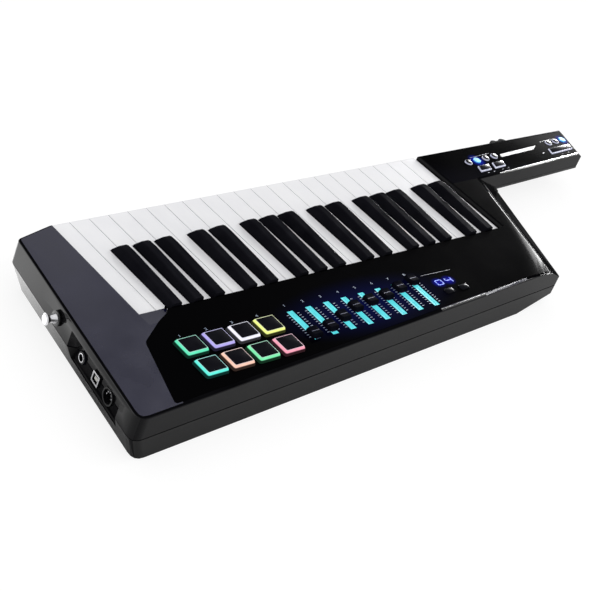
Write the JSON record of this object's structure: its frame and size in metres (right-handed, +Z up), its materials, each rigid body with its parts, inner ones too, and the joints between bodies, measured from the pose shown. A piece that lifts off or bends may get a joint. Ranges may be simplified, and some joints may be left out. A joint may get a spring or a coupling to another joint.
{
  "type": "keytar",
  "caption": "Keytar lying on its back: three-octave keyboard, lit pads and faders on a gloss panel, touch ribbon and buttons on a short neck with a pitch wheel.",
  "frame": {"origin": "centre of the bounding box in plan, on the surface that the part lies on", "axes": "+X along the keyboard towards the neck, +Y from the control panel to the key fronts, +Z up through the key tops"},
  "size_m": [0.885, 0.2654, 0.0585],
  "materials": {
    "housing": "gloss black moulded ABS",
    "fascia_gloss": "deep gloss black sheet",
    "key_white": "satin gloss white key plastic",
    "key_black": "satin black key plastic",
    "pad_rubber": "translucent silicone with dark printed tops",
    "button_rubber": "translucent silicone with dark printed tops",
    "fader_cap": "matt black with a pale line",
    "light_guide": "clear acrylic lit cyan",
    "frame_plastic": "grey moulded plastic",
    "circuit_board": "green solder mask",
    "wheel_plastic": "satin black plastic",
    "ribbon_film": "pale satin film",
    "nickel": "nickel plated steel"
  },
  "bodies": {
    "housing": {"top_shell": "housing", "bottom_shell": "housing", "fascia": "fascia_gloss", "key_frame": "frame_plastic", "light_guide": "light_guide", "main_board": "circuit_board", "touch_ribbon": "ribbon_film", "strap_button_left": "nickel", "strap_button_neck": "nickel"},
    "white_key_01": {"white_key_01": "key_white"},
    "white_key_02": {"white_key_02": "key_white"},
    "white_key_03": {"white_key_03": "key_white"},
    "white_key_04": {"white_key_04": "key_white"},
    "white_key_05": {"white_key_05": "key_white"},
    "white_key_06": {"white_key_06": "key_white"},
    "white_key_07": {"white_key_07": "key_white"},
    "white_key_08": {"white_key_08": "key_white"},
    "white_key_09": {"white_key_09": "key_white"},
    "white_key_10": {"white_key_10": "key_white"},
    "white_key_11": {"white_key_11": "key_white"},
    "white_key_12": {"white_key_12": "key_white"},
    "white_key_13": {"white_key_13": "key_white"},
    "white_key_14": {"white_key_14": "key_white"},
    "white_key_15": {"white_key_15": "key_white"},
    "white_key_16": {"white_key_16": "key_white"},
    "white_key_17": {"white_key_17": "key_white"},
    "white_key_18": {"white_key_18": "key_white"},
    "white_key_19": {"white_key_19": "key_white"},
    "white_key_20": {"white_key_20": "key_white"},
    "white_key_21": {"white_key_21": "key_white"},
    "white_key_22": {"white_key_22": "key_white"},
    "black_key_01": {"black_key_01": "key_black"},
    "black_key_02": {"black_key_02": "key_black"},
    "black_key_03": {"black_key_03": "key_black"},
    "black_key_04": {"black_key_04": "key_black"},
    "black_key_05": {"black_key_05": "key_black"},
    "black_key_06": {"black_key_06": "key_black"},
    "black_key_07": {"black_key_07": "key_black"},
    "black_key_08": {"black_key_08": "key_black"},
    "black_key_09": {"black_key_09": "key_black"},
    "black_key_10": {"black_key_10": "key_black"},
    "black_key_11": {"black_key_11": "key_black"},
    "black_key_12": {"black_key_12": "key_black"},
    "black_key_13": {"black_key_13": "key_black"},
    "black_key_14": {"black_key_14": "key_black"},
    "black_key_15": {"black_key_15": "key_black"},
    "fader_cap_1": {"fader_cap_1": "fader_cap"},
    "fader_cap_2": {"fader_cap_2": "fader_cap"},
    "fader_cap_3": {"fader_cap_3": "fader_cap"},
    "fader_cap_4": {"fader_cap_4": "fader_cap"},
    "fader_cap_5": {"fader_cap_5": "fader_cap"},
    "fader_cap_6": {"fader_cap_6": "fader_cap"},
    "fader_cap_7": {"fader_cap_7": "fader_cap"},
    "fader_cap_8": {"fader_cap_8": "fader_cap"},
    "pads": {"pad_mat": "pad_rubber"},
    "neck_buttons_inner": {"neck_keypad_inner": "button_rubber"},
    "neck_buttons_outer": {"neck_keypad_outer": "button_rubber"},
    "panel_buttons": {"panel_keypad": "button_rubber"},
    "pitch_wheel": {"pitch_wheel": "wheel_plastic"},
    "battery_door": {"battery_door": "housing"}
  },
  "joints": [
    {"name": "white_key_01_press", "type": "hinge", "parent": "housing", "child": "white_key_01", "pos_m": [-0.09471, -0.04496, 0.0405], "axis": [-1, 0, 0], "range_deg": [0, 3.4], "stiffness_Nm_per_rad": 1, "springref_deg": -5.16},
    {"name": "white_key_02_press", "type": "hinge", "parent": "housing", "child": "white_key_02", "pos_m": [-0.09471, -0.04496, 0.0405], "axis": [-1, 0, 0], "range_deg": [0, 3.4], "stiffness_Nm_per_rad": 1, "springref_deg": -5.16},
    {"name": "white_key_03_press", "type": "hinge", "parent": "housing", "child": "white_key_03", "pos_m": [-0.09471, -0.04496, 0.0405], "axis": [-1, 0, 0], "range_deg": [0, 3.4], "stiffness_Nm_per_rad": 1, "springref_deg": -5.16},
    {"name": "white_key_04_press", "type": "hinge", "parent": "housing", "child": "white_key_04", "pos_m": [-0.09471, -0.04496, 0.0405], "axis": [-1, 0, 0], "range_deg": [0, 3.4], "stiffness_Nm_per_rad": 1, "springref_deg": -5.16},
    {"name": "white_key_05_press", "type": "hinge", "parent": "housing", "child": "white_key_05", "pos_m": [-0.09471, -0.04496, 0.0405], "axis": [-1, 0, 0], "range_deg": [0, 3.4], "stiffness_Nm_per_rad": 1, "springref_deg": -5.16},
    {"name": "white_key_06_press", "type": "hinge", "parent": "housing", "child": "white_key_06", "pos_m": [-0.09471, -0.04496, 0.0405], "axis": [-1, 0, 0], "range_deg": [0, 3.4], "stiffness_Nm_per_rad": 1, "springref_deg": -5.16},
    {"name": "white_key_07_press", "type": "hinge", "parent": "housing", "child": "white_key_07", "pos_m": [-0.09471, -0.04496, 0.0405], "axis": [-1, 0, 0], "range_deg": [0, 3.4], "stiffness_Nm_per_rad": 1, "springref_deg": -5.16},
    {"name": "white_key_08_press", "type": "hinge", "parent": "housing", "child": "white_key_08", "pos_m": [-0.09471, -0.04496, 0.0405], "axis": [-1, 0, 0], "range_deg": [0, 3.4], "stiffness_Nm_per_rad": 1, "springref_deg": -5.16},
    {"name": "white_key_09_press", "type": "hinge", "parent": "housing", "child": "white_key_09", "pos_m": [-0.09471, -0.04496, 0.0405], "axis": [-1, 0, 0], "range_deg": [0, 3.4], "stiffness_Nm_per_rad": 1, "springref_deg": -5.16},
    {"name": "white_key_10_press", "type": "hinge", "parent": "housing", "child": "white_key_10", "pos_m": [-0.09471, -0.04496, 0.0405], "axis": [-1, 0, 0], "range_deg": [0, 3.4], "stiffness_Nm_per_rad": 1, "springref_deg": -5.16},
    {"name": "white_key_11_press", "type": "hinge", "parent": "housing", "child": "white_key_11", "pos_m": [-0.09471, -0.04496, 0.0405], "axis": [-1, 0, 0], "range_deg": [0, 3.4], "stiffness_Nm_per_rad": 1, "springref_deg": -5.16},
    {"name": "white_key_12_press", "type": "hinge", "parent": "housing", "child": "white_key_12", "pos_m": [-0.09471, -0.04496, 0.0405], "axis": [-1, 0, 0], "range_deg": [0, 3.4], "stiffness_Nm_per_rad": 1, "springref_deg": -5.16},
    {"name": "white_key_13_press", "type": "hinge", "parent": "housing", "child": "white_key_13", "pos_m": [-0.09471, -0.04496, 0.0405], "axis": [-1, 0, 0], "range_deg": [0, 3.4], "stiffness_Nm_per_rad": 1, "springref_deg": -5.16},
    {"name": "white_key_14_press", "type": "hinge", "parent": "housing", "child": "white_key_14", "pos_m": [-0.09471, -0.04496, 0.0405], "axis": [-1, 0, 0], "range_deg": [0, 3.4], "stiffness_Nm_per_rad": 1, "springref_deg": -5.16},
    {"name": "white_key_15_press", "type": "hinge", "parent": "housing", "child": "white_key_15", "pos_m": [-0.09471, -0.04496, 0.0405], "axis": [-1, 0, 0], "range_deg": [0, 3.4], "stiffness_Nm_per_rad": 1, "springref_deg": -5.16},
    {"name": "white_key_16_press", "type": "hinge", "parent": "housing", "child": "white_key_16", "pos_m": [-0.09471, -0.04496, 0.0405], "axis": [-1, 0, 0], "range_deg": [0, 3.4], "stiffness_Nm_per_rad": 1, "springref_deg": -5.16},
    {"name": "white_key_17_press", "type": "hinge", "parent": "housing", "child": "white_key_17", "pos_m": [-0.09471, -0.04496, 0.0405], "axis": [-1, 0, 0], "range_deg": [0, 3.4], "stiffness_Nm_per_rad": 1, "springref_deg": -5.16},
    {"name": "white_key_18_press", "type": "hinge", "parent": "housing", "child": "white_key_18", "pos_m": [-0.09471, -0.04496, 0.0405], "axis": [-1, 0, 0], "range_deg": [0, 3.4], "stiffness_Nm_per_rad": 1, "springref_deg": -5.16},
    {"name": "white_key_19_press", "type": "hinge", "parent": "housing", "child": "white_key_19", "pos_m": [-0.09471, -0.04496, 0.0405], "axis": [-1, 0, 0], "range_deg": [0, 3.4], "stiffness_Nm_per_rad": 1, "springref_deg": -5.16},
    {"name": "white_key_20_press", "type": "hinge", "parent": "housing", "child": "white_key_20", "pos_m": [-0.09471, -0.04496, 0.0405], "axis": [-1, 0, 0], "range_deg": [0, 3.4], "stiffness_Nm_per_rad": 1, "springref_deg": -5.16},
    {"name": "white_key_21_press", "type": "hinge", "parent": "housing", "child": "white_key_21", "pos_m": [-0.09471, -0.04496, 0.0405], "axis": [-1, 0, 0], "range_deg": [0, 3.4], "stiffness_Nm_per_rad": 1, "springref_deg": -5.16},
    {"name": "white_key_22_press", "type": "hinge", "parent": "housing", "child": "white_key_22", "pos_m": [-0.09471, -0.04496, 0.0405], "axis": [-1, 0, 0], "range_deg": [0, 3.4], "stiffness_Nm_per_rad": 1, "springref_deg": -5.16},
    {"name": "black_key_01_press", "type": "hinge", "parent": "housing", "child": "black_key_01", "pos_m": [-0.09471, -0.04496, 0.0405], "axis": [-1, 0, 0], "range_deg": [0, 3.4], "stiffness_Nm_per_rad": 1, "springref_deg": -5.16},
    {"name": "black_key_02_press", "type": "hinge", "parent": "housing", "child": "black_key_02", "pos_m": [-0.09471, -0.04496, 0.0405], "axis": [-1, 0, 0], "range_deg": [0, 3.4], "stiffness_Nm_per_rad": 1, "springref_deg": -5.16},
    {"name": "black_key_03_press", "type": "hinge", "parent": "housing", "child": "black_key_03", "pos_m": [-0.09471, -0.04496, 0.0405], "axis": [-1, 0, 0], "range_deg": [0, 3.4], "stiffness_Nm_per_rad": 1, "springref_deg": -5.16},
    {"name": "black_key_04_press", "type": "hinge", "parent": "housing", "child": "black_key_04", "pos_m": [-0.09471, -0.04496, 0.0405], "axis": [-1, 0, 0], "range_deg": [0, 3.4], "stiffness_Nm_per_rad": 1, "springref_deg": -5.16},
    {"name": "black_key_05_press", "type": "hinge", "parent": "housing", "child": "black_key_05", "pos_m": [-0.09471, -0.04496, 0.0405], "axis": [-1, 0, 0], "range_deg": [0, 3.4], "stiffness_Nm_per_rad": 1, "springref_deg": -5.16},
    {"name": "black_key_06_press", "type": "hinge", "parent": "housing", "child": "black_key_06", "pos_m": [-0.09471, -0.04496, 0.0405], "axis": [-1, 0, 0], "range_deg": [0, 3.4], "stiffness_Nm_per_rad": 1, "springref_deg": -5.16},
    {"name": "black_key_07_press", "type": "hinge", "parent": "housing", "child": "black_key_07", "pos_m": [-0.09471, -0.04496, 0.0405], "axis": [-1, 0, 0], "range_deg": [0, 3.4], "stiffness_Nm_per_rad": 1, "springref_deg": -5.16},
    {"name": "black_key_08_press", "type": "hinge", "parent": "housing", "child": "black_key_08", "pos_m": [-0.09471, -0.04496, 0.0405], "axis": [-1, 0, 0], "range_deg": [0, 3.4], "stiffness_Nm_per_rad": 1, "springref_deg": -5.16},
    {"name": "black_key_09_press", "type": "hinge", "parent": "housing", "child": "black_key_09", "pos_m": [-0.09471, -0.04496, 0.0405], "axis": [-1, 0, 0], "range_deg": [0, 3.4], "stiffness_Nm_per_rad": 1, "springref_deg": -5.16},
    {"name": "black_key_10_press", "type": "hinge", "parent": "housing", "child": "black_key_10", "pos_m": [-0.09471, -0.04496, 0.0405], "axis": [-1, 0, 0], "range_deg": [0, 3.4], "stiffness_Nm_per_rad": 1, "springref_deg": -5.16},
    {"name": "black_key_11_press", "type": "hinge", "parent": "housing", "child": "black_key_11", "pos_m": [-0.09471, -0.04496, 0.0405], "axis": [-1, 0, 0], "range_deg": [0, 3.4], "stiffness_Nm_per_rad": 1, "springref_deg": -5.16},
    {"name": "black_key_12_press", "type": "hinge", "parent": "housing", "child": "black_key_12", "pos_m": [-0.09471, -0.04496, 0.0405], "axis": [-1, 0, 0], "range_deg": [0, 3.4], "stiffness_Nm_per_rad": 1, "springref_deg": -5.16},
    {"name": "black_key_13_press", "type": "hinge", "parent": "housing", "child": "black_key_13", "pos_m": [-0.09471, -0.04496, 0.0405], "axis": [-1, 0, 0], "range_deg": [0, 3.4], "stiffness_Nm_per_rad": 1, "springref_deg": -5.16},
    {"name": "black_key_14_press", "type": "hinge", "parent": "housing", "child": "black_key_14", "pos_m": [-0.09471, -0.04496, 0.0405], "axis": [-1, 0, 0], "range_deg": [0, 3.4], "stiffness_Nm_per_rad": 1, "springref_deg": -5.16},
    {"name": "black_key_15_press", "type": "hinge", "parent": "housing", "child": "black_key_15", "pos_m": [-0.09471, -0.04496, 0.0405], "axis": [-1, 0, 0], "range_deg": [0, 3.4], "stiffness_Nm_per_rad": 1, "springref_deg": -5.16},
    {"name": "fader_cap_1_slide", "type": "slide", "parent": "housing", "child": "fader_cap_1", "axis": [0, 1, 0], "range_m": [-0.0036, 0.0324]},
    {"name": "fader_cap_2_slide", "type": "slide", "parent": "housing", "child": "fader_cap_2", "axis": [0, 1, 0], "range_m": [-0.00684, 0.02916]},
    {"name": "fader_cap_3_slide", "type": "slide", "parent": "housing", "child": "fader_cap_3", "axis": [0, 1, 0], "range_m": [-0.0144, 0.0216]},
    {"name": "fader_cap_4_slide", "type": "slide", "parent": "housing", "child": "fader_cap_4", "axis": [0, 1, 0], "range_m": [-0.0216, 0.0144]},
    {"name": "fader_cap_5_slide", "type": "slide", "parent": "housing", "child": "fader_cap_5", "axis": [0, 1, 0], "range_m": [-0.02448, 0.01152]},
    {"name": "fader_cap_6_slide", "type": "slide", "parent": "housing", "child": "fader_cap_6", "axis": [0, 1, 0], "range_m": [-0.02592, 0.01008]},
    {"name": "fader_cap_7_slide", "type": "slide", "parent": "housing", "child": "fader_cap_7", "axis": [0, 1, 0], "range_m": [-0.03096, 0.00504]},
    {"name": "fader_cap_8_slide", "type": "slide", "parent": "housing", "child": "fader_cap_8", "axis": [0, 1, 0], "range_m": [-0.036, 0]},
    {"name": "pads_press", "type": "slide", "parent": "housing", "child": "pads", "axis": [0, 0, -1], "range_m": [0, 0.0008], "stiffness_N_per_m": 2500, "springref_m": -0.001},
    {"name": "neck_buttons_inner_press", "type": "slide", "parent": "housing", "child": "neck_buttons_inner", "axis": [0, 0, -1], "range_m": [0, 0.0008], "stiffness_N_per_m": 1500, "springref_m": -0.0008},
    {"name": "neck_buttons_outer_press", "type": "slide", "parent": "housing", "child": "neck_buttons_outer", "axis": [0, 0, -1], "range_m": [0, 0.0008], "stiffness_N_per_m": 1500, "springref_m": -0.0008},
    {"name": "panel_buttons_press", "type": "slide", "parent": "housing", "child": "panel_buttons", "axis": [0, 0, -1], "range_m": [0, 0.0008], "stiffness_N_per_m": 1500, "springref_m": -0.0008},
    {"name": "pitch_wheel_turn", "type": "hinge", "parent": "housing", "child": "pitch_wheel", "pos_m": [0.32629, 0.10554, 0.0385], "axis": [0, 0, 1], "range_deg": [-30, 30], "stiffness_Nm_per_rad": 0.03},
    {"name": "battery_door_hinge", "type": "hinge", "parent": "housing", "child": "battery_door", "pos_m": [-0.13971, -0.10645, 0.0015], "axis": [-1, 0, 0], "range_deg": [0, 100]}
  ]
}
